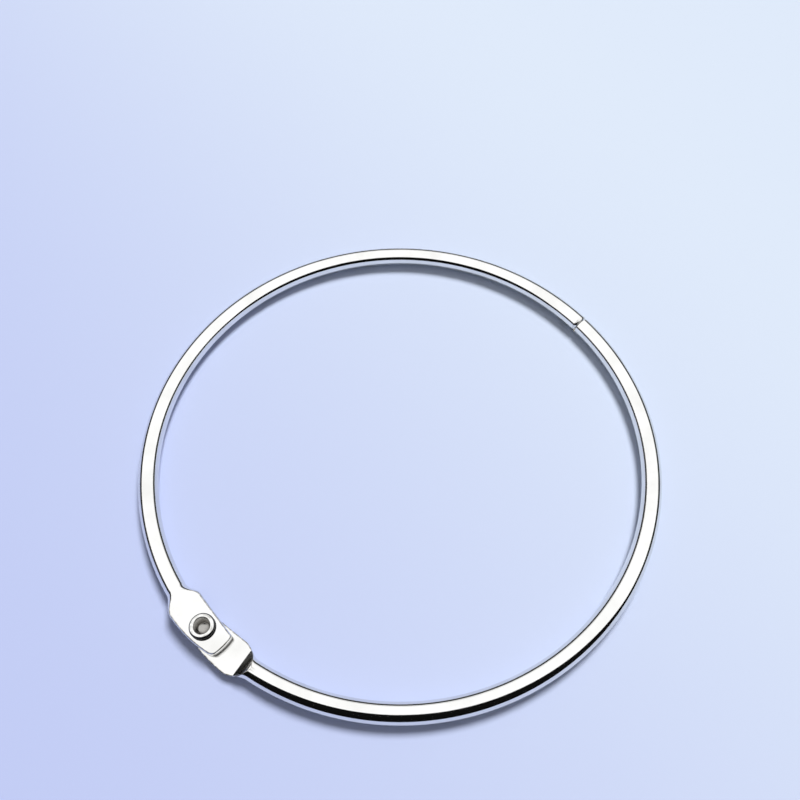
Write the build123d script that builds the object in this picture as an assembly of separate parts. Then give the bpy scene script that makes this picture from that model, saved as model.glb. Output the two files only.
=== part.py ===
"""Hinged binder ring of nickel-plated steel wire, lying flat and closed.

Two half rings of round wire are joined by a semi-tubular rivet. At the hinge each wire is pressed into a
flat tab, and the two tabs lie on each other. At the clasp a nose laps over a tongue. Lengths are in
millimetres. The frame has its origin under the ring's centre, on the surface the ring lies on, with +Z up.
Bearings are degrees counter-clockwise from +X about the ring's centre.
"""
import math
import os

from build123d import *

# Ring
inner_diameter = 100.0
wire_diameter = 4.0
hinge_bearing = 226.0
seam_bearing = 37.0

# Hinge tabs, pressed out of the wire
tab_length = 12.8
tab_width = 6.7
tab_end_width = 4.9
tab_end_crown = 0.35
tab_inner_corner_radius = 0.4
tab_outer_corner_radius = 0.9
tab_edge_radius = 0.7
tab_thickness = 1.8
tab_clearance = 0.05
upper_hole_end_distance = 5.4
lower_hole_end_distance = 3.2
swell_length = 1.9
neck_length = 2.4
press_ramp_angle = 43.0

# Hinge rivet
shank_diameter = 3.4
shank_clearance = 0.05
head_diameter = 5.4
head_thickness = 0.5
head_bevel = 0.25
rim_diameter = 4.8
rim_height = 1.1
rim_dish = 0.2
rim_edge_radius = 0.5
hollow_mouth_diameter = 3.0
hollow_floor_diameter = 2.2
hollow_depth = 2.3
hollow_point_depth = 0.5

# Clasp
lap_length = 4.6
tongue_length = 4.0
lap_drop = 0.5
lap_clearance = 0.12
seam_gap = 0.2
nose_edge_radius = 0.9
tongue_edge_radius = 0.4

# How far along the neck and the tab each section of the pressed wire stands
neck_shares = (0.0, 0.2, 0.4, 0.6, 0.8, 1.0)
taper_shares = (0.0, 0.35, 0.7, 1.0)

# Making of the solids
stub_length = 6.0
neck_trim_angle = 4.0
cut_overrun = 1.0
weld_tolerance = 0.001

# Derived sizes
wire_radius = wire_diameter / 2
inner_radius = inner_diameter / 2
ring_radius = inner_radius + wire_radius
shank_radius = shank_diameter / 2
seam_half_angle = math.degrees(seam_gap / 2 / ring_radius)
lap_angle = math.degrees(lap_length / ring_radius)
tongue_angle = math.degrees(tongue_length / ring_radius)
stub_angle = math.degrees(stub_length / ring_radius)
tab_inner_face = tab_clearance / 2
tab_outer_face = tab_inner_face + tab_thickness
mid_plane_height = max(wire_radius, tab_outer_face + head_thickness)
upper_hole_setback = tab_length - upper_hole_end_distance
lower_hole_setback = tab_length - lower_hole_end_distance
cut_reach = tab_length + neck_length + cut_overrun
cut_height = wire_radius + cut_overrun
wire_top = Vector(0, 0, wire_radius)


def direction(bearing):
    """Unit vector away from the ring's centre at a bearing."""
    angle = math.radians(bearing)
    return Vector(math.cos(angle), math.sin(angle), 0)


def ring_point(bearing):
    """Point on the wire's centre line at a bearing."""
    return direction(bearing) * ring_radius


def eased(share):
    """Smooth step from 0 to 1."""
    return share * share * (3 - 2 * share)


def pressed_section(arc, half_width, edge_radius):
    """Section of the wire at an arc length from the hinge: four corner arcs with a side between each two."""
    bearing = math.degrees(arc / ring_radius)
    plane = Plane(ring_point(bearing), x_dir=direction(bearing), z_dir=direction(bearing - 90))
    still_round = edge_radius == wire_radius
    trim = neck_trim_angle if still_round else 0
    corners = []
    for across, upward, start in ((1, 1, 0), (-1, 1, 90), (-1, -1, 180), (1, -1, 270)):
        centre = (across * (half_width - edge_radius), upward * (wire_radius - edge_radius))
        corners.append(CenterArc(centre, edge_radius, start + trim, 90 - 2 * trim))
    middles = ((0, wire_radius), (-half_width, 0), (0, -wire_radius), (half_width, 0))
    edges = []
    for corner, following, middle in zip(corners, corners[1:] + corners[:1], middles):
        begin, end = corner @ 1, following @ 0
        side = ThreePointArc(begin, middle, end) if still_round else Line(begin, end)
        edges += [corner, side]
    return plane * make_face(edges)


def round_angle(hole_setback):
    """Angle from the hinge to where the neck of its tab is round wire again."""
    return math.degrees((hole_setback + neck_length) / ring_radius)


def wire_arc(start, end):
    """Round wire between two bearings. Its section is an ellipse of equal axes, which takes fewer facets."""
    section = Plane.XZ * Pos(ring_radius, 0) * Ellipse(wire_radius, wire_radius)
    return Rot(0, 0, start) * revolve(section, Axis.Z, revolution_arc=end - start)


def tab_outline(end_reach, swell_reach):
    """Plan of the tab's crowned end with its rounded corners, for a hinge at bearing 0."""
    end_half = tab_end_width / 2
    root_half = tab_width - end_half
    corner_low = (ring_radius - end_half, tab_end_crown - end_reach)
    corner_high = (ring_radius + end_half, tab_end_crown - end_reach)
    root_low = (ring_radius - root_half, swell_reach)
    root_high = (ring_radius + root_half, swell_reach)
    far_low = (ring_radius - root_half, swell_reach + cut_reach)
    far_high = (ring_radius + root_half, swell_reach + cut_reach)
    crown = ThreePointArc(corner_low, (ring_radius, -end_reach), corner_high)
    sides = Polyline(corner_high, root_high, far_high, far_low, root_low, corner_low)
    plan = make_face([crown, *sides.edges()])
    inner_corner, outer_corner = plan.vertices().sort_by(Axis.Y)[:2].sort_by(Axis.X)
    plan = fillet(inner_corner, tab_inner_corner_radius)
    outer_corner = plan.vertices().sort_by_distance(outer_corner)[0]
    return fillet(outer_corner, tab_outer_corner_radius)


def tab_end(hole_setback, hole_radius):
    """Pressed hinge end at bearing 0, with a stub of wire counter-clockwise of it and its die mark on top."""
    round_reach = hole_setback + neck_length
    swell_reach = hole_setback - swell_length
    end_reach = tab_length - hole_setback
    half_spread = tab_width / 2 - wire_radius
    half_taper = (tab_width - tab_end_width) / 2

    neck_sections = []
    for share in neck_shares:
        arc = round_reach + (swell_reach - round_reach) * share
        spread = eased(share)
        edge_radius = wire_radius + (tab_edge_radius - wire_radius) * spread
        neck_sections.append(pressed_section(arc, wire_radius + half_spread * spread, edge_radius))
    tab_sections = []
    for share in taper_shares:
        arc = swell_reach - (swell_reach + end_reach + cut_overrun) * share
        tab_sections.append(pressed_section(arc, tab_width / 2 - half_taper * share**2, tab_edge_radius))
    blank = loft(neck_sections) + loft(tab_sections)

    # The die presses one face down to the hinge plane and leaves a ramp where it stops.
    ramp_run = (cut_height + tab_inner_face) / math.tan(math.radians(press_ramp_angle))
    die = Polyline(
        (-cut_reach, -tab_inner_face),
        (hole_setback, -tab_inner_face),
        (hole_setback + ramp_run, cut_height),
        (-cut_reach, cut_height),
        close=True,
    )
    # The anvil flattens the other face and runs out gently along the neck.
    anvil = Polyline(
        (-cut_reach, -tab_outer_face),
        (swell_reach, -tab_outer_face),
        (round_reach, -wire_radius - tab_inner_face),
        (round_reach, -cut_height),
        (-cut_reach, -cut_height),
        close=True,
    )
    across = Plane((ring_radius, 0, 0), x_dir=(0, 1, 0), z_dir=(1, 0, 0))
    for profile in (die, anvil):
        blank -= extrude(across * make_face(profile.edges()), tab_width, both=True)

    outline = extrude(tab_outline(end_reach, swell_reach), cut_height, both=True)
    hole = Pos(ring_radius, 0, 0) * Cylinder(hole_radius, 2 * cut_height)
    root = round_angle(hole_setback)
    tab = (blank & outline) - hole
    return tab.fuse(wire_arc(root, root + stub_angle), tol=weld_tolerance)


def lap_zone(start, end):
    """Block around the wire between two bearings."""
    section = Plane.XZ * Pos(ring_radius, 0) * Rectangle(2 * wire_diameter, 2 * cut_height)
    return Rot(0, 0, start) * revolve(section, Axis.Z, revolution_arc=end - start)


def under_lap(offset):
    """Everything under the lap's flat face, which lies square to the rivet so that the halves slide apart."""
    span = 2 * (ring_radius + wire_diameter)
    block = Box(span, span, cut_height, align=(Align.CENTER, Align.CENTER, Align.MAX))
    return Pos(0, 0, offset - lap_drop) * block


def round_end(blank, end_point, radius):
    """Round the wire's outer edge on the flat end that lies nearest to a point."""
    end_face = blank.faces().filter_by(GeomType.PLANE).sort_by_distance(end_point)[0]
    rim = end_face.edges().sort_by(SortBy.LENGTH)[-1]
    return fillet(rim, radius)


def upper_half_ring():
    """Half ring with its smooth face up, ending in a nose that is relieved on its underside."""
    root = seam_bearing + lap_angle + stub_angle
    relief = lap_zone(seam_bearing - lap_angle, seam_bearing + lap_angle) & under_lap(lap_clearance / 2)
    nose = wire_arc(seam_bearing + seam_half_angle, root) - relief
    nose = round_end(nose, ring_point(seam_bearing) + wire_top, nose_edge_radius)
    wire = wire_arc(root, hinge_bearing - round_angle(upper_hole_setback) - stub_angle)
    tab = Rot(180, 0, 0) * tab_end(upper_hole_setback, shank_radius + shank_clearance)
    return nose.fuse(wire, Rot(0, 0, hinge_bearing) * tab, tol=weld_tolerance)


def lower_half_ring():
    """Half ring with its die mark up, running on under the nose as a thin tongue."""
    root = seam_bearing - stub_angle
    start = seam_bearing - seam_half_angle
    relief = lap_zone(start, start + 2 * lap_angle) - under_lap(-lap_clearance / 2)
    tip = seam_bearing + tongue_angle
    tongue = round_end(wire_arc(root, tip) - relief, ring_point(tip) - wire_top, tongue_edge_radius)
    wire = wire_arc(hinge_bearing + round_angle(lower_hole_setback) + stub_angle, 360 + root)
    tab = tab_end(lower_hole_setback, shank_radius)
    return tongue.fuse(wire, Rot(0, 0, hinge_bearing) * tab, tol=weld_tolerance)


def hinge_rivet():
    """Semi-tubular rivet: plain head below, shank through the tabs, rolled rim and blind hollow on top."""
    head_radius = head_diameter / 2
    rim_radius = rim_diameter / 2
    head_low = -tab_outer_face - head_thickness
    rim_low = tab_outer_face + tab_clearance
    rim_top = rim_low + rim_height
    hollow_low = rim_top - hollow_depth
    outline = Polyline(
        (0, hollow_low - hollow_point_depth),
        (0, head_low),
        (head_radius - head_bevel, head_low),
        (head_radius, -tab_outer_face),
        (shank_radius, -tab_outer_face),
        (shank_radius, rim_low),
        (rim_radius, rim_low),
        (rim_radius, rim_top),
        (hollow_mouth_diameter / 2, rim_top - rim_dish),
        (hollow_floor_diameter / 2, hollow_low),
        close=True,
    )
    profile = make_face(outline.edges())
    profile = fillet(profile.vertices().sort_by(Axis.Y)[-1], rim_edge_radius)
    return Pos(ring_point(hinge_bearing)) * revolve(Plane.XZ * profile, Axis.Z)


pieces = {
    "upper_half_ring": upper_half_ring(),
    "lower_half_ring": lower_half_ring(),
    "hinge_rivet": hinge_rivet(),
}
os.makedirs("parts", exist_ok=True)
for name, piece in pieces.items():
    export_step(Pos(0, 0, mid_plane_height) * piece, f"parts/{name}.step")
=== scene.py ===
"""Binder ring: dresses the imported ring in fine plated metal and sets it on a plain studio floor."""
import math

import bmesh
import bpy
import numpy as np
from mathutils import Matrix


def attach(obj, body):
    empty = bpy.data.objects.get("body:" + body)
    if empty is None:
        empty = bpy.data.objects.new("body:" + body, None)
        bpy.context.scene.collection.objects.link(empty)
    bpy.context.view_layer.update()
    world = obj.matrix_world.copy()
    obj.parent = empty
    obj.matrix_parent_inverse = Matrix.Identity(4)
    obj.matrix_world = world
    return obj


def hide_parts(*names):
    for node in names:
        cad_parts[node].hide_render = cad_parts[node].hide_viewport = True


bl_info = {
    "name": "Binder Ring",
    "version": (1, 0, 0),
    "blender": (4, 5, 0),
    "location": "View3D > Sidebar > Binder Ring",
    "description": "Dresses a hinged binder ring in plated metal and sets it on a plain studio floor",
    "category": "Object",
}

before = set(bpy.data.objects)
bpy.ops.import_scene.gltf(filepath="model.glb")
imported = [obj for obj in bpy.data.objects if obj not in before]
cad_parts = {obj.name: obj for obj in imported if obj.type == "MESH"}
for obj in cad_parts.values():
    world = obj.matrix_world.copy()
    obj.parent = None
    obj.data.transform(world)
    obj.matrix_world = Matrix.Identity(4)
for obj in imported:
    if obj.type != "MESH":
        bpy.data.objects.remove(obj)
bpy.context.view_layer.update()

MM = 0.001

# How fine the meshes are
SIDE_POINTS = 40  # on each of the four sides of a section
ARC_STEPS = 24  # points on each arc of a pressed section
END_STEPS = 14  # points round each rounded end or corner
TURNS = 128  # points round a turned piece
FINE_STEP = 0.1 * MM  # between the rows of a tab, a nose or a tongue
WIRE_STEP = 1.0 * MM  # between the rows of the plain wire
TINY_RUN = 1e-5 * MM  # every edge counts as at least this long
SHARP_ANGLE = math.radians(40)  # faces that meet at more than this are shaded with a sharp edge
SHEAR_REACH = 1.5  # how many crease radii the sheared face's mark reaches in from a tip

# Angles at which the four sides of a round section meet, top left first, clockwise
SQUARE_CORNERS = tuple(math.radians(angle) for angle in (135, 45, -45, -135))

# Sockets of the Mix node, which share their names
VALUE_A, VALUE_B, MIXED_VALUE = 2, 3, 0
COLOUR_A, COLOUR_B, MIXED_COLOUR = 6, 7, 2

# How many finer layers each noise has
LINE_DETAIL = 3.0
PATCH_DETAIL = 4.0
DENT_DETAIL = 2.0
RING_DETAIL = 2.0
SPECK_DETAIL = 4.0

# Values of a noise between which a finish changes, as inputs of the Map Range node
NOISE_SPAN = {"From Min": 0.3, "From Max": 0.7}
THIN_SPAN = {"From Min": 0.4, "From Max": 0.75}
RUB_SPAN = {"From Min": 0.25, "From Max": 0.6}

# How far a roughness swings: shares of its middle value
DRAWN_SWING = (0.7, 1.6)
STRUCK_SWING = (0.7, 1.4)
ROLLED_SWING = (0.8, 1.8)
DULL_SWING = (0.8, 1.2)

# Studio
FLOOR_RUN = (0.8, 0.6, 0.0)  # the way in which the floor's tone runs from near to far
SENSOR_WIDTH = 36.0  # of the camera, in millimetres
CAMERA_CLIP = 10.0 * MM  # what is nearer to the camera is not drawn


def linear(hex_colour):
    """An sRGB hex colour as linear red, green, blue and alpha."""
    shares = [int(hex_colour[i:i + 2], 16) / 255 for i in (1, 3, 5)]
    return tuple(s / 12.92 if s <= 0.04045 else ((s + 0.055) / 1.055) ** 2.4 for s in shares) + (1.0,)


def length(label, millimetres, text):
    """A size that is written in millimetres and kept in metres."""
    return bpy.props.FloatProperty(
        name=label, description=text, default=millimetres * MM, unit="LENGTH", precision=5)


def turn(label, degrees, text):
    """An angle that is written in degrees and kept in radians."""
    return bpy.props.FloatProperty(
        name=label, description=text, default=math.radians(degrees), unit="ROTATION", subtype="ANGLE")


def colour(label, hex_colour, text):
    """A colour that is written as sRGB hex and kept in linear light."""
    return bpy.props.FloatVectorProperty(
        name=label, description=text, default=linear(hex_colour), size=4, subtype="COLOR", min=0.0, max=1.0)


def factor(label, share, text):
    """A plain share or shader value."""
    return bpy.props.FloatProperty(
        name=label, description=text, default=share, min=0.0, soft_max=1.0, subtype="FACTOR")


class RingSizes(bpy.types.PropertyGroup):
    """The ring of wire as a whole."""
    inner_diameter: length("Inner diameter", 100.0, "Across the inside of the closed ring")
    wire_diameter: length("Wire diameter", 4.0, "Across the round wire")
    hinge_bearing: turn("Hinge bearing", 226.0, "Where the hinge stands round the ring, from +X")
    seam_bearing: turn("Seam bearing", 37.0, "Where the clasp's seam stands round the ring, from +X")
    mid_height: length("Middle height", 2.325, "The wire's middle above the floor")


class TabSizes(bpy.types.PropertyGroup):
    """The pressed hinge tabs."""
    tab_length: length("Length", 12.8, "From the tab's tip to where the die stops")
    width: length("Width", 6.7, "Across the tab at its widest")
    end_width: length("End width", 4.9, "Across the tab near its tip")
    end_crown: length("End crown", 0.35, "How far the tip bulges")
    inner_corner: length("Inner corner radius", 0.4, "Rounding of the tip's corner inside the ring, in plan")
    outer_corner: length("Outer corner radius", 0.9, "Rounding of the tip's corner outside the ring, in plan")
    edge_radius: length("Edge radius", 0.7, "Rounding of the tab's long edges")
    thickness: length("Thickness", 1.8, "Of one tab")
    clearance: length("Clearance", 0.05, "Between the two tabs")
    upper_end_distance: length("Upper end distance", 5.4, "From the upper tab's tip to its hole")
    lower_end_distance: length("Lower end distance", 3.2, "From the lower tab's tip to its hole")
    swell: length("Swell", 1.9, "How far the widening reaches past the die's edge, towards the tip")
    neck: length("Neck", 2.4, "How far the widening reaches past the die's edge, towards the wire")
    ramp_angle: turn("Ramp angle", 43.0, "Slope that the die leaves where it stops")
    overrun: length("Taper overrun", 1.0, "How far past the tip the sides' taper would run on")
    clean_cut: factor("Clean cut", 0.35, "Share of the tip's thickness that the shear cuts before it tears")
    crease: length("Crease radius", 0.2, "Plating and tumbling round every sharp edge this much")


class ClaspSizes(bpy.types.PropertyGroup):
    """The nose and the tongue that it closes over."""
    lap: length("Lap", 4.6, "How far the nose is relieved")
    tongue: length("Tongue", 4.0, "How far the tongue reaches past the seam")
    lap_drop: length("Lap drop", 0.5, "How far under the wire's middle nose and tongue meet")
    clearance: length("Clearance", 0.12, "Between nose and tongue")
    seam_gap: length("Seam gap", 0.2, "Between the two ends of the wire")
    nose_radius: length("Nose radius", 0.9, "Rounding of the nose's end")
    tongue_radius: length("Tongue radius", 0.4, "Rounding of the tongue's end")


class RivetSizes(bpy.types.PropertyGroup):
    """The semi-tubular hinge rivet."""
    shank_diameter: length("Shank diameter", 3.4, "Across the shank")
    shank_clearance: length("Shank clearance", 0.05, "Round the shank in the upper tab")
    head_diameter: length("Head diameter", 5.4, "Across the plain head below")
    head_thickness: length("Head thickness", 0.5, "Of the plain head below")
    head_bevel: length("Head bevel", 0.25, "At the head's lower edge")
    rim_diameter: length("Rim diameter", 4.8, "Across the rolled rim")
    rim_height: length("Rim height", 1.1, "Of the rolled rim above the tab, before its edge is rounded")
    rim_dish: length("Rim dish", 0.2, "How far the rim falls from its edge to the hollow's mouth")
    rim_radius: length("Rim edge radius", 0.5, "Rounding of the rim's edge")
    mouth_diameter: length("Mouth diameter", 3.0, "Across the hollow at its mouth")
    floor_diameter: length("Floor diameter", 2.2, "Across the hollow at its floor")
    hollow_depth: length("Hollow depth", 2.3, "From the rim's top to the hollow's floor")
    point_depth: length("Point depth", 0.5, "Depth of the drill point in the hollow's floor")
    roll_radius: length("Roll radius", 0.45, "Rounding under the rolled rim")
    mouth_radius: length("Mouth radius", 0.25, "Rounding of the hollow's mouth and floor")
    # Painted shade on the rim: how far up its side the near-black painted shade climbs, and over how much it
    # fades
    painted_shade_top: factor("Grime top", 0.84, "Share of the rim's height that the painted shade under it climbs")
    painted_shade_fade: factor("Grime fade", 0.14, "Share of the rim's height over which the painted shade fades")
    small_radius: length("Small radius", 0.05, "Rounding of the head's upper edge")


class PlateFinish(bpy.types.PropertyGroup):
    """The bright nickel plate, the marks that making and use leave in it, and painted shade under the rivet's
    rim.
    """
    bright: colour("Bright plate", "#EBEBEA", "The polished plate")
    thin: colour("Thin plate", "#DFDFDD", "Where the plate is a little thinner and greyer")
    worn: colour("Worn plate", "#8F8C86", "Where edges are rubbed down to the steel")
    sheared: colour("Sheared plate", "#757371", "Plate over the torn steel of a sheared end")
    # Painted shade: a near-black colour on the side of the rivet's rolled rim, standing in for the shadow
    # under it
    painted_rim_shade: colour("Painted rim shade", "#1E1D1C", "Painted shade, near black, under the rivet's rim")
    hollow: colour("Hollow plate", "#ABA9A6", "Plate that hardly reaches into the rivet's hollow")
    roughness: factor("Roughness", 0.07, "Of the polished plate")
    pressed_roughness: factor("Pressed roughness", 0.1, "Of the faces that the die has struck")
    worn_roughness: factor("Worn roughness", 0.2, "Of the rubbed edges")
    # Also the roughness where shade is painted under the rivet's rim
    sheared_roughness: factor("Sheared roughness", 0.36, "Of the sheared ends and of the painted shade")
    hollow_roughness: factor("Hollow roughness", 0.24, "Inside the rivet")
    line_width: length("Draw line width", 0.3, "Between the lines that the drawing die leaves along the wire")
    line_length: length("Draw line length", 14.0, "Over which one of those lines fades")
    line_depth: length("Draw line depth", 0.002, "Of those lines")
    press_grain: length("Press grain", 0.7, "Between the shallow dents that the die leaves on the tabs")
    press_depth: length("Press depth", 0.004, "Of those dents")
    patch: length("Patch", 6.0, "Across the patches where the plate is thinner")
    roll_width: length("Roll mark width", 0.16, "Between the rings that the rolling tool leaves on the rivet")
    roll_depth: length("Roll mark depth", 0.003, "Of those rings")
    wear_start: length("Wear start", 1.1, "Edges rounder than this radius are not rubbed")
    wear_full: length("Wear full", 0.4, "Edges sharper than this radius are fully rubbed")


class StudioSet(bpy.types.PropertyGroup):
    """Floor, lamps, cards and camera."""
    floor_near: colour("Floor near", "#C1CBF4", "The pale floor at the front left")
    floor_far: colour("Floor far", "#DFEAFA", "The pale floor at the back right")
    floor_blend: length("Floor blend", 240.0, "Over which the floor's two tones run into each other")
    floor_edge: colour("Floor edge", "#F8F9FB", "The floor far off, where it runs into the room")
    floor_fade: length("Floor fade", 900.0, "Over which the floor runs out to that tone")
    floor_reach: length("Floor reach", 6000.0, "From the middle of the floor to its edge")
    floor_roughness: factor("Floor roughness", 0.9, "Of the matt paint")
    floor_gloss: factor("Floor gloss", 0.1, "Specular level of the matt paint")
    fill: factor("Fill", 0.22, "Even light from all round")
    surround: factor("Surround", 0.95, "Brightness of the pale room that the metal shows")
    key: factor("Key", 0.79, "Light that the key lamp gives the floor")
    key_bearing: turn("Key bearing", 62.0, "Where the key lamp stands, from +X")
    key_height: turn("Key height", 62.0, "How high the key lamp stands")
    key_spread: turn("Key spread", 22.0, "How wide the key lamp looks, which softens its shadows")
    softbox: factor("Softbox", 0.3, "Radiance of the softbox overhead")
    softbox_width: length("Softbox width", 1500.0, "Across the softbox")
    softbox_front: length("Softbox front", -350.0, "Front edge of the softbox")
    softbox_back: length("Softbox back", 400.0, "Back edge of the softbox")
    softbox_height: length("Softbox height", 267.0, "Of the softbox above the floor")
    card: colour("Front card", "#0E0E0E", "The black card at the camera's side")
    card_place: length("Front card place", -94.0, "Where the black card stands")
    card_foot: length("Front card foot", -420.0, "Where the card's sloping left edge starts below")
    card_shoulder: length("Front card shoulder", -150.0, "Where that edge ends above")
    card_right: length("Front card right", 420.0, "Right edge of the black card")
    card_height: length("Front card height", 123.0, "Of the black card")
    skirt: colour("Skirt", "#38383A", "The dark skirt round the table")
    skirt_radius: length("Skirt radius", 400.0, "Of the dark skirt")
    skirt_height: length("Skirt height", 155.0, "Of the dark skirt")
    camera_back: length("Camera distance", 71.9, "Of the camera in front of the ring's middle")
    camera_height: length("Camera height", 144.3, "Of the camera above the wire's middle")
    camera_tilt: turn("Camera tilt", 30.06, "Of the camera away from straight down")
    camera_lens: bpy.props.FloatProperty(
        name="Camera lens", description="Focal length in millimetres on a 36 mm wide sensor", default=34.58)


def middle_radius(sizes):
    """Radius of the ring at the wire's middle."""
    return (sizes.inner_diameter + sizes.wire_diameter) / 2


def hinge_place(sizes):
    """The hinge's axis at the wire's middle height."""
    radius = middle_radius(sizes)
    return radius * math.cos(sizes.hinge_bearing), radius * math.sin(sizes.hinge_bearing), sizes.mid_height


def eased(share):
    """Smooth step from 0 to 1."""
    share = min(max(share, 0.0), 1.0)
    return share * share * (3 - 2 * share)


def softer_min(first, second, reach):
    """The lower of two values, with the corner between them rounded over reach."""
    overlap = max(reach - abs(first - second), 0.0) / reach
    return min(first, second) - overlap * overlap * reach / 4


def corner_cut(radius, depth):
    """How far a rounded corner is drawn in at a depth from the end."""
    if depth >= radius:
        return 0.0
    return radius - math.sqrt(radius ** 2 - (radius - depth) ** 2)


def side_shares(crowding):
    """Shares along one side of a section, crowded towards the corners as much as crowding says."""
    even = np.arange(SIDE_POINTS) / SIDE_POINTS
    crowded = (1 - np.cos(np.pi * even)) / 2
    return even + (crowded - even) * crowding


def arc_points(centre, radius, start, end):
    """Points on an arc, angles in radians."""
    angles = np.linspace(start, end, ARC_STEPS)
    return np.stack([centre[0] + radius * np.cos(angles), centre[1] + radius * np.sin(angles)], axis=1)


def corner_outline(half_width, edge_radius, wire_radius, level, crease):
    """A quarter of a pressed section, from the middle of its face at level to the middle of its side.

    Returns the points and how far along them the corner's middle lies."""
    bend = np.array([half_width - edge_radius, wire_radius - edge_radius])
    crease = min(crease, edge_radius)
    rise = level - crease - bend[1]
    across = edge_radius - crease
    tangent = 0.0
    if rise > 0:
        across = math.sqrt(max(across ** 2 - rise * rise, 0.0))
        tangent = math.atan2(rise, across)
    crease_centre = (bend[0] + across, level - crease)
    parts = [[(0.0, level)], arc_points(crease_centre, crease, math.pi / 2, tangent)]
    if tangent > 0:
        parts.append(arc_points(bend, edge_radius, tangent, 0.0))
    if tangent > math.pi / 4:
        middle = crease_centre[0] + crease * (math.pi / 2 - tangent) + edge_radius * (tangent - math.pi / 4)
    else:
        middle = crease_centre[0] + crease * math.pi / 4
    return np.concatenate(parts), middle


def pressed_section(half_width, edge_radius, wire_radius, low, high, crease, crowding):
    """A closed section of pressed wire, SIDE_POINTS points on each of its four sides, from the top left."""
    above, corner_above = corner_outline(half_width, edge_radius, wire_radius, high, crease)
    below, corner_below = corner_outline(half_width, edge_radius, wire_radius, -low, crease)
    half = np.concatenate([above, (below * (1, -1))[::-1]])
    along = np.concatenate([[0.0], np.cumsum(np.hypot(*np.diff(half, axis=0).T))])
    total = along[-1]
    knots = [-corner_above, corner_above, total - corner_below, total + corner_below,
             2 * total - corner_above]
    shares = side_shares(crowding)
    places = np.concatenate([a + (b - a) * shares for a, b in zip(knots, knots[1:])])
    folded = np.where(places < 0, -places, np.where(places > total, 2 * total - places, places))
    side = np.where((places < 0) | (places > total), -1.0, 1.0)
    return np.stack([side * np.interp(folded, along, half[:, 0]),
                     np.interp(folded, along, half[:, 1])], axis=1)


def round_section(radius, corners):
    """A round section whose four sides meet at the given angles, top left first, clockwise."""
    knots = list(corners) + [corners[0] - 2 * math.pi]
    angles = np.concatenate([a + (b - a) * side_shares(0.0) for a, b in zip(knots, knots[1:])])
    return np.stack([radius * np.cos(angles), radius * np.sin(angles)], axis=1)


def cut_corners(radius, level):
    """The four corners of a round section whose top is cut off at level."""
    rise = math.asin(level / radius)
    return math.pi - rise, rise, SQUARE_CORNERS[2], SQUARE_CORNERS[3]


def cut_section(radius, level):
    """A round section with a flat top at level."""
    corners = cut_corners(radius, level)
    section = round_section(radius, corners)
    half_width = radius * math.cos(corners[1])
    section[:SIDE_POINTS, 0] = half_width * (2 * side_shares(0.0) - 1)
    section[:SIDE_POINTS, 1] = level
    return section


class Skin:
    """Gathers the rows of one half ring and the faces between them.

    A row is a list of section points (across, up) at one place along the wire. Rows are kept in the half's
    own frame: hinge at bearing 0, die mark on top, wire running counter-clockwise."""

    def __init__(self, ring_radius):
        """An empty skin for a ring of this radius at the wire's middle."""
        self.ring_radius = ring_radius
        self.points = []
        self.rows = []
        self.faces = []

    def add(self, places, section, shared=None):
        """One row. places gives an arc length for each point, and shared the points that the last row has."""
        places = np.broadcast_to(places, len(section))
        row = []
        for k, (arc, (across, up)) in enumerate(zip(places, section)):
            if shared is not None and shared[k]:
                row.append(self.rows[-1][k])
                continue
            angle = arc / self.ring_radius
            reach = self.ring_radius + across
            row.append(len(self.points))
            self.points.append((reach * math.cos(angle), reach * math.sin(angle), up))
        if self.rows:
            last = self.rows[-1]
            for k in range(len(row)):
                j = (k + 1) % len(row)
                face = list(dict.fromkeys((last[k], last[j], row[j], row[k])))
                if len(face) > 2:
                    self.faces.append(face)
        self.rows.append(row)

    def cap(self, row):
        """Closes one end with a grid between the four sides of its row."""
        n = SIDE_POINTS
        ring = row + row[:1]
        top, right, bottom, left = (ring[k * n:(k + 1) * n + 1] for k in range(4))
        grid = {}
        for i in range(n + 1):
            for j in range(n + 1):
                if j == 0:
                    grid[i, j] = top[i]
                elif j == n:
                    grid[i, j] = bottom[n - i]
                elif i == 0:
                    grid[i, j] = left[n - j]
                elif i == n:
                    grid[i, j] = right[j]
        at = {key: np.array(self.points[index]) for key, index in grid.items()}
        for i in range(1, n):
            for j in range(1, n):
                u, v = i / n, j / n
                place = (1 - v) * at[i, 0] + v * at[i, n] + (1 - u) * at[0, j] + u * at[n, j]
                place = place - ((1 - u) * (1 - v) * at[0, 0] + u * (1 - v) * at[n, 0]
                                 + (1 - u) * v * at[0, n] + u * v * at[n, n])
                grid[i, j] = len(self.points)
                self.points.append(tuple(place))
        for i in range(n):
            for j in range(n):
                self.faces.append([grid[i, j], grid[i + 1, j], grid[i + 1, j + 1], grid[i, j + 1]])


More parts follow.
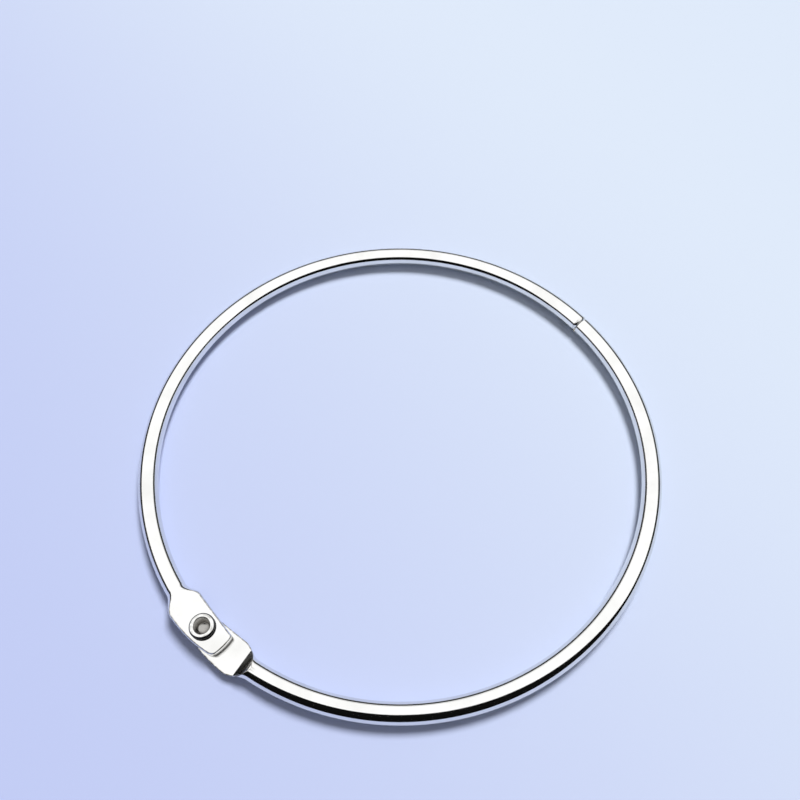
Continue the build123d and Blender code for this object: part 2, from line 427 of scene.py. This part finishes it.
def add_tab(skin, sizes, tab, end_distance):
    """The pressed hinge end, from its tip to where the neck is round wire again. Returns that arc length."""
    wire_radius = sizes.wire_diameter / 2
    setback = tab.tab_length - end_distance
    swell_reach, round_reach = setback - tab.swell, setback + tab.neck
    inner_face = tab.clearance / 2
    outer_face = inner_face + tab.thickness
    slope = math.tan(tab.ramp_angle)
    full_depth = swell_reach + end_distance
    half_taper = (tab.width - tab.end_width) / 2
    trim_slope = (tab.width - tab.end_width) / (full_depth - tab.end_crown)

    def section(depth, edge):
        """Section at a depth from the tip, with its plan corners cut and its faces drawn in by edge."""
        arc = depth - end_distance
        spread = eased((round_reach - arc) / (round_reach - swell_reach))
        half_width = wire_radius + (tab.width / 2 - wire_radius) * spread
        taper = max(swell_reach - arc, 0.0) / (full_depth + tab.overrun)
        trimmed = tab.end_width / 2 + trim_slope * depth
        half_width = softer_min(half_width - half_taper * taper ** 2, trimmed, tab.crease)
        inner_cut = corner_cut(tab.inner_corner, depth)
        outer_cut = corner_cut(tab.outer_corner, depth)
        half_width -= (inner_cut + outer_cut) / 2
        edge_radius = wire_radius + (tab.edge_radius - wire_radius) * spread
        ramp = max(-inner_face, -inner_face + (arc - setback) * slope)
        high = softer_min(ramp, wire_radius, 2 * tab.crease)
        relief = eased((arc - swell_reach) / (round_reach - swell_reach))
        low = max(-outer_face + (outer_face - wire_radius - inner_face) * relief, -wire_radius)
        points = pressed_section(half_width, edge_radius, wire_radius, low + edge, high - edge,
                                 tab.crease, spread)
        points[:, 0] += (inner_cut - outer_cut) / 2
        return points

    # The tip's rows follow its crown, and straighten towards the widest place.
    rounding_shares = 1 - np.sin(np.linspace(math.pi / 2, 0.0, END_STEPS))
    tip_depths = np.unique(np.concatenate([rounding_shares * tab.inner_corner,
                                           rounding_shares * tab.outer_corner]))
    body_depths = np.arange(tip_depths[-1] + FINE_STEP, full_depth - FINE_STEP / 2, FINE_STEP)
    for depth in np.concatenate([tip_depths, body_depths]):
        points = section(depth, corner_cut(tab.crease, depth))
        across = points[:, 0]
        crown = tab.end_crown * (across / (tab.end_width / 2)) ** 2
        tip = skin.ring_radius * np.arcsin((crown - end_distance) / (skin.ring_radius + across))
        skin.add(tip + (swell_reach - tip) * depth / full_depth, points)
    for arc in np.arange(swell_reach, round_reach + FINE_STEP / 2, FINE_STEP / 2):
        skin.add(arc, section(arc + end_distance, 0.0))
    skin.cap(skin.rows[0])
    return round_reach


def add_clasp(skin, sizes, clasp, start, nose):
    """The wire from the hinge's neck to the seam, and the nose or the tongue at its end."""
    radius = sizes.wire_diameter / 2
    turned = sizes.hinge_bearing - sizes.seam_bearing
    seam = (turned if nose else 2 * math.pi - turned) * skin.ring_radius
    level = (clasp.lap_drop if nose else -clasp.lap_drop) - clasp.clearance / 2
    step = seam - clasp.lap if nose else seam - clasp.seam_gap / 2
    end = seam - clasp.seam_gap / 2 if nose else seam + clasp.tongue
    rounding = clasp.nose_radius if nose else clasp.tongue_radius

    # The corners wander along the wire to where the step needs them.
    step_corners = cut_corners(radius, level)
    steps = int((step - start) / WIRE_STEP)
    for share in np.arange(1, steps + 1) / steps:
        corners = [a + (b - a) * share for a, b in zip(SQUARE_CORNERS, step_corners)]
        skin.add(start + (step - start) * share, round_section(radius, corners))

    # The step's upright face lies between two rows at one place that share all but the top.
    below = np.arange(4 * SIDE_POINTS) >= SIDE_POINTS
    below[0] = True
    skin.add(step, cut_section(radius, level), shared=below)
    rounded = rounding * (1 - np.sin(np.linspace(0.0, math.pi / 2, END_STEPS)))
    straight = np.arange(end - step - FINE_STEP, rounding + FINE_STEP / 2, -FINE_STEP)
    for depth in np.concatenate([straight, rounded]):
        skin.add(end - depth, cut_section(radius - corner_cut(rounding, depth), level))
    skin.cap(skin.rows[-1])


def link(piece):
    """Puts a new object into the scene."""
    bpy.context.scene.collection.objects.link(piece)
    return piece


def mesh_object(name, points, faces):
    """An object with smooth faces that all look outwards."""
    mesh = bpy.data.meshes.new(name)
    mesh.from_pydata([tuple(p) for p in points], [], faces)
    work = bmesh.new()
    work.from_mesh(mesh)
    bmesh.ops.recalc_face_normals(work, faces=work.faces)
    work.to_mesh(mesh)
    work.free()
    mesh.shade_smooth()
    return link(bpy.data.objects.new(name, mesh))


def lathe(profile, centre):
    """Points and faces of a profile (radius, height) turned about an upright axis."""
    points, faces, rings = [], [], []
    for radius, height in profile:
        if radius == 0:
            rings.append([len(points)] * TURNS)
            points.append((centre[0], centre[1], centre[2] + height))
            continue
        rings.append(list(range(len(points), len(points) + TURNS)))
        for k in range(TURNS):
            angle = 2 * math.pi * k / TURNS
            points.append((centre[0] + radius * math.cos(angle), centre[1] + radius * math.sin(angle),
                           centre[2] + height))
    for last, ring in zip(rings, rings[1:]):
        for k in range(TURNS):
            j = (k + 1) % TURNS
            face = list(dict.fromkeys((last[k], last[j], ring[j], ring[k])))
            if len(face) > 2:
                faces.append(face)
    return points, faces


def rounded_profile(corners):
    """A profile (radius, height) through corners (radius, height, rounding), each rounded by an arc."""
    profile = [corners[0][:2]]
    for before, (radius, height, rounding), after in zip(corners, corners[1:], corners[2:]):
        if rounding == 0:
            profile.append((radius, height))
            continue
        here = np.array((radius, height))
        into = np.array(before[:2]) - here
        out = np.array(after[:2]) - here
        into, out = into / np.hypot(*into), out / np.hypot(*out)
        half_angle = math.acos(np.clip(into @ out, -1.0, 1.0)) / 2
        tangent = rounding / math.tan(half_angle)
        centre = here + (into + out) / np.hypot(*(into + out)) * rounding / math.sin(half_angle)
        begin, end = here + into * tangent - centre, here + out * tangent - centre
        sweep = math.atan2(begin[0] * end[1] - begin[1] * end[0], begin @ end)
        for share in np.linspace(0.0, 1.0, END_STEPS):
            cosine, sine = math.cos(sweep * share), math.sin(sweep * share)
            profile.append((centre[0] + begin[0] * cosine - begin[1] * sine,
                            centre[1] + begin[0] * sine + begin[1] * cosine))
    profile.append(corners[-1][:2])
    return [(float(radius), float(height)) for radius, height in profile]


def drill(piece, radius, reach, place):
    """Cuts an upright round hole through a piece, as far as reach above and below place."""
    profile = [(0.0, -reach), (radius, -reach), (radius, reach), (0.0, reach)]
    cutter = mesh_object("hole_cutter", *lathe(profile, place))
    cut = piece.modifiers.new("hole", "BOOLEAN")
    cut.operation = "DIFFERENCE"
    cut.solver = "EXACT"
    cut.object = cutter
    graph = bpy.context.evaluated_depsgraph_get()
    drilled = bpy.data.meshes.new_from_object(piece.evaluated_get(graph))
    piece.modifiers.clear()
    piece.data = drilled
    bpy.data.objects.remove(cutter)
    if not drilled.polygons:
        raise RuntimeError(f"the hole left nothing of {piece.name}")


def point_places(mesh):
    """The mesh's points as an array."""
    places = np.empty(3 * len(mesh.vertices), np.float32)
    mesh.vertices.foreach_get("co", places)
    return places.reshape(-1, 3)


def mark(mesh, name, shares):
    """Keeps one share between 0 and 1 for each point, for the material to read."""
    kept = mesh.attributes.new(name, "FLOAT", "POINT")
    kept.data.foreach_set("value", np.clip(shares, 0.0, 1.0).astype(np.float32))


def wear(mesh):
    """How far each point is rubbed: nothing where the surface is gently round, fully on sharp outer edges."""
    finish = bpy.context.scene.plate_finish
    places = point_places(mesh)
    count = len(places)
    normals = np.empty(3 * count, np.float32)
    mesh.vertex_normals.foreach_get("vector", normals)
    normals = normals.reshape(-1, 3)
    ends = np.empty(2 * len(mesh.edges), np.int32)
    mesh.edges.foreach_get("vertices", ends)
    first, second = ends.reshape(-1, 2).T
    run = places[second] - places[first]
    squared = np.maximum((run * run).sum(axis=1), TINY_RUN ** 2)
    bend = ((normals[second] - normals[first]) * run).sum(axis=1) / squared
    total = np.bincount(first, bend, count) + np.bincount(second, bend, count)
    edges = np.bincount(first, minlength=count) + np.bincount(second, minlength=count)
    # Half of a point's edges run along the rounded edge and do not bend, so the mean is half the curvature.
    curvature = 2 * total / np.maximum(edges, 1)
    start, full = 1 / finish.wear_start, 1 / finish.wear_full
    return (curvature - start) / (full - start)


def mark_half(mesh, way):
    """Notes on each point of a half ring how far it was pressed, sheared and rubbed."""
    scene = bpy.context.scene
    sizes, tab = scene.ring_sizes, scene.tab_sizes
    ring_radius = middle_radius(sizes)
    end_distance = tab.lower_end_distance if way > 0 else tab.upper_end_distance
    setback = tab.tab_length - end_distance
    places = point_places(mesh)
    reach = np.hypot(places[:, 0], places[:, 1])
    angle = (np.arctan2(places[:, 1], places[:, 0]) - sizes.hinge_bearing) * way
    angle = (angle + math.pi) % (2 * math.pi) - math.pi
    pressed = (setback + tab.neck - angle * ring_radius) / (tab.neck + tab.swell)
    crown = tab.end_crown * ((reach - ring_radius) / (tab.end_width / 2)) ** 2
    depth = reach * np.sin(angle) + end_distance - crown
    at_tip = np.where(np.cos(angle) > 0, np.clip(SHEAR_REACH - depth / tab.crease, 0.0, 1.0), 0.0)
    # The shear cuts cleanly into the tip from its outer face and tears through the rest.
    from_outer_face = (places[:, 2] - sizes.mid_height) * way + tab.clearance / 2 + tab.thickness
    torn = from_outer_face / tab.thickness / tab.clean_cut - 1
    mark(mesh, "pressed", pressed)
    mark(mesh, "sheared", at_tip * np.clip(torn, 0.0, 1.0))
    mark(mesh, "worn", wear(mesh))


def make_half(name, way):
    """One half ring as a fine mesh in its place. way is -1 for the upper half, which lies turned over."""
    scene = bpy.context.scene
    sizes, tab, clasp, rivet = scene.ring_sizes, scene.tab_sizes, scene.clasp_sizes, scene.rivet_sizes
    skin = Skin(middle_radius(sizes))
    nose = way < 0
    start = add_tab(skin, sizes, tab, tab.upper_end_distance if nose else tab.lower_end_distance)
    add_clasp(skin, sizes, clasp, start, nose)
    points = np.array(skin.points)
    points[:, 1:] *= way
    cosine, sine = math.cos(sizes.hinge_bearing), math.sin(sizes.hinge_bearing)
    placed = np.stack([points[:, 0] * cosine - points[:, 1] * sine,
                       points[:, 0] * sine + points[:, 1] * cosine,
                       points[:, 2] + sizes.mid_height], axis=1)
    half = mesh_object(name, placed, skin.faces)
    hole_radius = rivet.shank_diameter / 2 + (rivet.shank_clearance if nose else 0.0)
    drill(half, hole_radius, sizes.wire_diameter, hinge_place(sizes))
    half.data.set_sharp_from_angle(angle=SHARP_ANGLE)
    mark_half(half.data, way)
    return half


def make_rivet(name):
    """The semi-tubular rivet as a fine turned mesh, with its rim rolled over."""
    scene = bpy.context.scene
    sizes, tab, rivet = scene.ring_sizes, scene.tab_sizes, scene.rivet_sizes
    outer_face = tab.clearance / 2 + tab.thickness
    head_low = -outer_face - rivet.head_thickness
    rim_low = outer_face + tab.clearance
    rim_top = rim_low + rivet.rim_height
    hollow_low = rim_top - rivet.hollow_depth
    head, shank, rim = rivet.head_diameter / 2, rivet.shank_diameter / 2, rivet.rim_diameter / 2
    mouth, floor = rivet.mouth_diameter / 2, rivet.floor_diameter / 2
    profile = rounded_profile([
        (0.0, head_low, 0.0),
        (head - rivet.head_bevel, head_low, rivet.head_bevel),
        (head, -outer_face, rivet.small_radius),
        (shank, -outer_face, 0.0),
        (shank, rim_low, 0.0),
        (rim, rim_low, rivet.roll_radius),
        (rim, rim_top, rivet.rim_radius),
        (mouth, rim_top - rivet.rim_dish, rivet.mouth_radius),
        (floor, hollow_low, rivet.mouth_radius),
        (0.0, hollow_low - rivet.point_depth, 0.0)])
    place = hinge_place(sizes)
    piece = mesh_object(name, *lathe(profile, place))
    mesh = piece.data
    mesh.set_sharp_from_angle(angle=SHARP_ANGLE)
    places = point_places(mesh) - np.array(place, np.float32)
    reach = np.hypot(places[:, 0], places[:, 1])
    inside = (mouth + rivet.small_radius - reach) / rivet.mouth_radius
    mark(mesh, "hollow", np.where(places[:, 2] > 0, inside, 0.0))
    # Painted shade: the rim's outer side is painted near black up to most of its height, fading below the
    # crest
    up_rim = (places[:, 2] - rim_low) / rivet.rim_height
    outside = (reach > shank) & (places[:, 2] > outer_face)
    mark(mesh, "painted_rim_shade", np.where(outside, (rivet.painted_shade_top - up_rim) / rivet.painted_shade_fade, 0.0))
    mark(mesh, "worn", wear(mesh))
    return piece


def node(tree, kind, links=None, **settings):
    """Adds a node: settings are its own fields, links maps an input to a value or an output socket."""
    made = tree.nodes.new(kind)
    for field, value in settings.items():
        setattr(made, field, value)
    for name, value in (links or {}).items():
        if isinstance(value, bpy.types.NodeSocket):
            tree.links.new(value, made.inputs[name])
        else:
            made.inputs[name].default_value = value
    return made


def new_material(name):
    """An empty node material, its tree and its output node."""
    material = bpy.data.materials.new(name)
    material.use_nodes = True
    tree = material.node_tree
    tree.nodes.clear()
    return material, tree, tree.nodes.new("ShaderNodeOutputMaterial")


def around_axis(tree, centre, across, along):
    """Coordinates for marks that run round an upright axis: fine across them, slow along them.

    Returns a vector and a fourth coordinate, for a noise of four dimensions."""
    place = node(tree, "ShaderNodeTexCoord").outputs["Object"]
    place = node(tree, "ShaderNodeVectorMath", {0: place, 1: centre}, operation="SUBTRACT").outputs[0]
    parts = node(tree, "ShaderNodeSeparateXYZ", {0: place}).outputs
    flat = node(tree, "ShaderNodeCombineXYZ", {"X": parts["X"], "Y": parts["Y"]}).outputs[0]
    reach = node(tree, "ShaderNodeVectorMath", {0: flat}, operation="LENGTH").outputs["Value"]
    mixed = node(tree, "ShaderNodeCombineXYZ", {"X": reach, "Y": parts["Z"], "Z": parts["X"]}).outputs[0]
    scaled = node(tree, "ShaderNodeVectorMath", {0: mixed, 1: (1 / across, 1 / across, 1 / along)},
                  operation="MULTIPLY").outputs[0]
    fourth = node(tree, "ShaderNodeMath", {0: parts["Y"], 1: 1 / along}, operation="MULTIPLY").outputs[0]
    return scaled, fourth


def metal_surface(tree, output, plate, rough, relief):
    """Ends a metal's tree with its colour, its roughness and its relief in metres."""
    bump = node(tree, "ShaderNodeBump", {"Height": relief, "Strength": 1.0, "Distance": 1.0})
    shader = node(tree, "ShaderNodeBsdfPrincipled", {
        "Base Color": plate, "Metallic": 1.0, "Roughness": rough, "Normal": bump.outputs["Normal"]})
    tree.links.new(shader.outputs["BSDF"], output.inputs["Surface"])


def plated_wire(finish):
    """Bright nickel plate over drawn and pressed steel wire.

    Drawing leaves long fine lines along the wire, which break the highlights into streaks. The die leaves
    the tabs a little uneven and less bright, sheared ends stay grey and torn, and handling rubs the edges
    grey. Real draw lines are some hundredths of a millimetre apart, which is too fine to show, so they are
    drawn coarser."""
    material, tree, output = new_material("bright_nickel_plate_on_drawn_wire")
    pressed, sheared, worn = (node(tree, "ShaderNodeAttribute", attribute_name=name).outputs["Fac"]
                              for name in ("pressed", "sheared", "worn"))
    place = node(tree, "ShaderNodeTexCoord").outputs["Object"]
    lines_place, lines_fourth = around_axis(tree, (0.0, 0.0, 0.0), finish.line_width, finish.line_length)
    lines = node(tree, "ShaderNodeTexNoise", {
        "Vector": lines_place, "W": lines_fourth, "Scale": 1.0, "Detail": LINE_DETAIL},
        noise_dimensions="4D").outputs["Fac"]
    patches = node(tree, "ShaderNodeTexNoise", {
        "Vector": place, "Scale": 1 / finish.patch, "Detail": PATCH_DETAIL}).outputs["Fac"]
    dents = node(tree, "ShaderNodeTexNoise", {
        "Vector": place, "Scale": 1 / finish.press_grain, "Detail": DENT_DETAIL}).outputs["Fac"]

    thinned = node(tree, "ShaderNodeMapRange", {"Value": patches, **THIN_SPAN}).outputs[0]
    broken = node(tree, "ShaderNodeMapRange", {"Value": dents, **RUB_SPAN}).outputs[0]
    rubbed = node(tree, "ShaderNodeMath", {0: worn, 1: broken}, operation="MULTIPLY").outputs[0]
    plate = tuple(finish.bright)
    for share, tint in ((thinned, finish.thin), (rubbed, finish.worn), (sheared, finish.sheared)):
        plate = node(tree, "ShaderNodeMix", {"Factor": share, COLOUR_A: plate, COLOUR_B: tuple(tint)},
                     data_type="RGBA").outputs[MIXED_COLOUR]

    drawn = node(tree, "ShaderNodeMapRange", {
        "Value": lines, **NOISE_SPAN,
        "To Min": finish.roughness * DRAWN_SWING[0], "To Max": finish.roughness * DRAWN_SWING[1]})
    struck = node(tree, "ShaderNodeMapRange", {
        "Value": dents, **NOISE_SPAN,
        "To Min": finish.pressed_roughness * STRUCK_SWING[0],
        "To Max": finish.pressed_roughness * STRUCK_SWING[1]})
    rough = drawn.outputs[0]
    for share, value in ((pressed, struck.outputs[0]), (rubbed, finish.worn_roughness),
                         (sheared, finish.sheared_roughness)):
        rough = node(tree, "ShaderNodeMix", {
            "Factor": share, VALUE_A: rough, VALUE_B: value}).outputs[MIXED_VALUE]

    line_relief = node(tree, "ShaderNodeMath", {0: lines, 1: finish.line_depth}, operation="MULTIPLY")
    dent_relief = node(tree, "ShaderNodeMath", {0: dents, 1: finish.press_depth}, operation="MULTIPLY")
    relief = node(tree, "ShaderNodeMix", {
        "Factor": pressed, VALUE_A: line_relief.outputs[0], VALUE_B: dent_relief.outputs[0]})
    metal_surface(tree, output, plate, rough, relief.outputs[MIXED_VALUE])
    return material


def plated_rivet(finish, axis):
    """Bright nickel plate over a rolled steel rivet.

    The rolling tool leaves fine rings round the rim, drawn coarser here than the real ones so that they
    show. The plating bath hardly reaches into the hollow, which stays dull and dark, and the rim's crest is
    rubbed. Under the rim its side is painted near black, as painted shade."""
    material, tree, output = new_material("bright_nickel_plate_on_rolled_rivet")
    hollow, worn, painted_rim_shade = (node(tree, "ShaderNodeAttribute", attribute_name=name).outputs["Fac"]
                           for name in ("hollow", "worn", "painted_rim_shade"))
    rings_place, rings_fourth = around_axis(tree, axis, finish.roll_width, finish.line_length)
    rings = node(tree, "ShaderNodeTexNoise", {
        "Vector": rings_place, "W": rings_fourth, "Scale": 1.0, "Detail": RING_DETAIL},
        noise_dimensions="4D").outputs["Fac"]
    place = node(tree, "ShaderNodeTexCoord").outputs["Object"]
    specks = node(tree, "ShaderNodeTexNoise", {
        "Vector": place, "Scale": 1 / finish.press_grain, "Detail": SPECK_DETAIL}).outputs["Fac"]

    thinned = node(tree, "ShaderNodeMapRange", {"Value": specks, **THIN_SPAN}).outputs[0]
    rubbed = node(tree, "ShaderNodeMath", {0: worn, 1: thinned}, operation="MULTIPLY").outputs[0]
    plate = tuple(finish.bright)
    # The last tint paints shade, near black, on the side of the rivet's rim
    for share, tint in ((thinned, finish.thin), (rubbed, finish.worn), (hollow, finish.hollow),
                        (painted_rim_shade, finish.painted_rim_shade)):
        plate = node(tree, "ShaderNodeMix", {"Factor": share, COLOUR_A: plate, COLOUR_B: tuple(tint)},
                     data_type="RGBA").outputs[MIXED_COLOUR]

    rolled = node(tree, "ShaderNodeMapRange", {
        "Value": rings, **NOISE_SPAN,
        "To Min": finish.roughness * ROLLED_SWING[0], "To Max": finish.roughness * ROLLED_SWING[1]})
    dull = node(tree, "ShaderNodeMapRange", {
        "Value": specks, **NOISE_SPAN,
        "To Min": finish.hollow_roughness * DULL_SWING[0],
        "To Max": finish.hollow_roughness * DULL_SWING[1]})
    rough = rolled.outputs[0]
    # The painted shade under the rim takes the roughness of the sheared ends
    for share, value in ((hollow, dull.outputs[0]), (painted_rim_shade, finish.sheared_roughness)):
        rough = node(tree, "ShaderNodeMix", {
            "Factor": share, VALUE_A: rough, VALUE_B: value}).outputs[MIXED_VALUE]

    relief = node(tree, "ShaderNodeMath", {0: rings, 1: finish.roll_depth}, operation="MULTIPLY")
    metal_surface(tree, output, plate, rough, relief.outputs[0])
    return material


def matt_floor(studio):
    """Matt painted board: pale, even and soft, running from one pale tone to another."""
    material, tree, output = new_material("matt_painted_board")
    place = node(tree, "ShaderNodeTexCoord").outputs["Object"]
    across = node(tree, "ShaderNodeVectorMath", {0: place, 1: FLOOR_RUN}, operation="DOT_PRODUCT")
    blend = node(tree, "ShaderNodeMapRange", {
        "Value": across.outputs["Value"],
        "From Min": -studio.floor_blend / 2, "From Max": studio.floor_blend / 2},
        interpolation_type="SMOOTHSTEP").outputs[0]
    distance = node(tree, "ShaderNodeVectorMath", {0: place}, operation="LENGTH")
    far = node(tree, "ShaderNodeMapRange", {
        "Value": distance.outputs["Value"],
        "From Min": studio.floor_blend, "From Max": studio.floor_blend + studio.floor_fade},
        interpolation_type="SMOOTHSTEP").outputs[0]
    paint = tuple(studio.floor_near)
    for share, tint in ((blend, studio.floor_far), (far, studio.floor_edge)):
        paint = node(tree, "ShaderNodeMix", {"Factor": share, COLOUR_A: paint, COLOUR_B: tuple(tint)},
                     data_type="RGBA").outputs[MIXED_COLOUR]
    shader = node(tree, "ShaderNodeBsdfPrincipled", {
        "Base Color": paint, "Roughness": studio.floor_roughness, "Specular IOR Level": studio.floor_gloss})
    tree.links.new(shader.outputs["BSDF"], output.inputs["Surface"])
    return material


def card_material(name, tint):
    """A card that shows the same tone from everywhere."""
    material, tree, output = new_material(name)
    shader = node(tree, "ShaderNodeEmission", {"Color": tuple(tint), "Strength": 1.0})
    tree.links.new(shader.outputs["Emission"], output.inputs["Surface"])
    return material


def stage_mesh(name, points, faces, material):
    """A piece of the studio, which is not part of the object."""
    mesh = bpy.data.meshes.new(name)
    mesh.from_pydata(points, [], faces)
    mesh.materials.append(material)
    made = link(bpy.data.objects.new(name, mesh))
    return made


def studio_air(studio):
    """The room's light: weak and even on the floor, and as pale as the backdrop where it is looked at."""
    world = bpy.data.worlds.new("studio_air")
    world.use_nodes = True
    tree = world.node_tree
    tree.nodes.clear()
    path = node(tree, "ShaderNodeLightPath").outputs
    seen = path["Is Camera Ray"]
    for ray in ("Is Glossy Ray", "Is Transmission Ray"):
        seen = node(tree, "ShaderNodeMath", {0: seen, 1: path[ray]}, operation="MAXIMUM").outputs[0]
    strength = node(tree, "ShaderNodeMix", {
        "Factor": seen, VALUE_A: studio.fill, VALUE_B: studio.surround}).outputs[MIXED_VALUE]
    sky = node(tree, "ShaderNodeBackground", {"Color": linear("#FFFFFF"), "Strength": strength})
    node(tree, "ShaderNodeOutputWorld", {"Surface": sky.outputs["Background"]})
    return world


class BINDERRING_OT_half_rings(bpy.types.Operator):
    """Make the two half rings of plated wire"""
    bl_idname = "binder_ring.half_rings"
    bl_label = "Half rings"

    def execute(self, context):
        """Makes both halves, each riding on its own body."""
        material = plated_wire(context.scene.plate_finish)
        for name, way, body in (("upper_ring_wire", -1, "upper_half"), ("lower_ring_wire", 1, "lower_half")):
            half = make_half(name, way)
            half.data.materials.append(material)
            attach(half, body)
            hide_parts(f"{body}_ring")
        return {"FINISHED"}


class BINDERRING_OT_hinge_rivet(bpy.types.Operator):
    """Make the rolled hinge rivet"""
    bl_idname = "binder_ring.hinge_rivet"
    bl_label = "Hinge rivet"

    def execute(self, context):
        """Makes the rivet, which stays with the lower half."""
        scene = context.scene
        piece = make_rivet("rolled_rivet")
        piece.data.materials.append(plated_rivet(scene.plate_finish, hinge_place(scene.ring_sizes)))
        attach(piece, "lower_half")
        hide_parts("hinge_rivet")
        return {"FINISHED"}


class BINDERRING_OT_stage(bpy.types.Operator):
    """Make the floor, the lamps, the cards and the camera"""
    bl_idname = "binder_ring.stage"
    bl_label = "Stage"

    def execute(self, context):
        """Sets the studio up round the ring."""
        scene = context.scene
        studio = scene.studio_set
        scene.view_settings.view_transform = "Standard"
        scene.world = studio_air(studio)

        reach = studio.floor_reach
        stage_mesh("floor", [(-reach, -reach, 0), (reach, -reach, 0), (reach, reach, 0), (-reach, reach, 0)],
                   [(0, 1, 2, 3)], matt_floor(studio))

        # The softbox overhead, which only the metal mirrors
        lamp = bpy.data.lights.new("softbox", "AREA")
        lamp.shape = "RECTANGLE"
        lamp.size = studio.softbox_width
        lamp.size_y = studio.softbox_back - studio.softbox_front
        lamp.energy = studio.softbox * math.pi * lamp.size * lamp.size_y
        softbox = link(bpy.data.objects.new("softbox", lamp))
        softbox.location = (0, (studio.softbox_back + studio.softbox_front) / 2, studio.softbox_height)
        softbox.visible_diffuse = False

        # The soft key lamp above and behind the ring, which lights the floor
        lamp = bpy.data.lights.new("key", "SUN")
        lamp.energy = studio.key * math.pi / math.sin(studio.key_height)
        lamp.angle = studio.key_spread
        key = link(bpy.data.objects.new("key", lamp))
        key.rotation_euler = (math.pi / 2 - studio.key_height, 0, studio.key_bearing + math.pi / 2)
        key.visible_glossy = False

        # Dark cards that only the metal mirrors
        place, top = studio.card_place, studio.card_height
        corners = [(studio.card_foot, place, 0), (studio.card_right, place, 0),
                   (studio.card_right, place, top), (studio.card_shoulder, place, top)]
        front = stage_mesh("front_card", corners, [(0, 1, 2, 3)], card_material("black_card", studio.card))
        rings = lathe([(studio.skirt_radius, 0.0), (studio.skirt_radius, studio.skirt_height)], (0, 0, 0))
        skirt = stage_mesh("skirt", *rings, card_material("dark_skirt", studio.skirt))
        for card in (front, skirt):
            card.visible_camera = False
            card.visible_diffuse = False
            card.visible_shadow = False

        camera = link(bpy.data.objects.new("camera", bpy.data.cameras.new("camera")))
        camera.data.sensor_width = SENSOR_WIDTH
        camera.data.lens = studio.camera_lens
        camera.data.clip_start = CAMERA_CLIP
        camera.location = (0, -studio.camera_back, scene.ring_sizes.mid_height + studio.camera_height)
        camera.rotation_euler = (studio.camera_tilt, 0, 0)
        scene.camera = camera
        return {"FINISHED"}


class BINDERRING_PT_panel(bpy.types.Panel):
    """The ring's pieces in the sidebar"""
    bl_idname = "BINDERRING_PT_panel"
    bl_label = "Binder Ring"
    bl_space_type = "VIEW_3D"
    bl_region_type = "UI"
    bl_category = "Binder Ring"

    def draw(self, context):
        """Lists the operators."""
        for operator in OPERATORS:
            self.layout.operator(operator.bl_idname)


OPERATORS = (BINDERRING_OT_half_rings, BINDERRING_OT_hinge_rivet, BINDERRING_OT_stage)
GROUPS = {"ring_sizes": RingSizes, "tab_sizes": TabSizes, "clasp_sizes": ClaspSizes,
          "rivet_sizes": RivetSizes, "plate_finish": PlateFinish, "studio_set": StudioSet}


def register():
    """Makes the classes known, and gives the scene its groups of values."""
    for made in (*GROUPS.values(), *OPERATORS, BINDERRING_PT_panel):
        bpy.utils.register_class(made)
    for name, group in GROUPS.items():
        setattr(bpy.types.Scene, name, bpy.props.PointerProperty(type=group))


def unregister():
    """Takes back what register did."""
    for name in GROUPS:
        delattr(bpy.types.Scene, name)
    for made in (BINDERRING_PT_panel, *OPERATORS, *GROUPS.values()):
        bpy.utils.unregister_class(made)


def main():
    register()
    bpy.ops.binder_ring.half_rings()
    bpy.ops.binder_ring.hinge_rivet()
    bpy.ops.binder_ring.stage()


if __name__ == "__main__":
    main()
